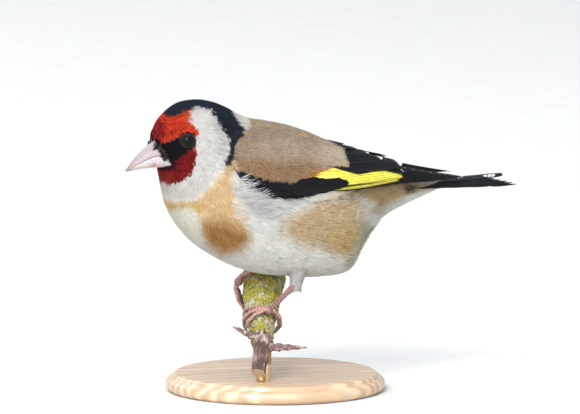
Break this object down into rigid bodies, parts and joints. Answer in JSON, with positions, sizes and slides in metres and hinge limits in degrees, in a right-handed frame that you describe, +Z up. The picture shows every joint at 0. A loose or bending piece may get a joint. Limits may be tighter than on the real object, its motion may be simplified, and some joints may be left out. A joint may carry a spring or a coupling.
{
  "type": "european goldfinch",
  "caption": "Life-size still model of a European goldfinch gripping a short length of branch, on a round wooden display stand.",
  "frame": {"origin": "centre of the stand base's underside", "axes": "+Z up, the bird faces -X and its tail points to +X, its left side is towards -Y"},
  "size_m": [0.1257, 0.068, 0.0919],
  "materials": {
    "plumage": "matte body feathers, brown, white, red and black in patches",
    "flight_feather": "satin black vanes with a yellow wing panel and white tips",
    "bill": "smooth pale horn, dusky along the ridge",
    "eye": "wet gloss, near black",
    "leg": "scaly skin, pinkish brown",
    "claw": "dark horn",
    "bark": "rough bark with grey-green and yellow lichen",
    "stand_wood": "turned wood, dark stain, satin",
    "stand_brass": "satin brass rod"
  },
  "bodies": {
    "root": {"head": "plumage", "neck": "plumage", "torso": "plumage", "wing_left": "flight_feather", "wing_right": "flight_feather", "tail": "flight_feather", "thigh_left": "plumage", "thigh_right": "plumage", "bill_upper": "bill", "bill_lower": "bill", "eye_left": "eye", "eye_right": "eye", "tarsus_left": "leg", "tarsus_right": "leg", "foot_left": "leg", "foot_right": "leg", "claw_left_hallux": "claw", "claw_left_inner": "claw", "claw_left_middle": "claw", "claw_left_outer": "claw", "claw_right_hallux": "claw", "claw_right_inner": "claw", "claw_right_middle": "claw", "claw_right_outer": "claw", "perch_branch": "bark", "perch_twig": "bark", "stand_base": "stand_wood", "stand_rod_front": "stand_brass", "stand_rod_back": "stand_brass"}
  },
  "joints": []
}
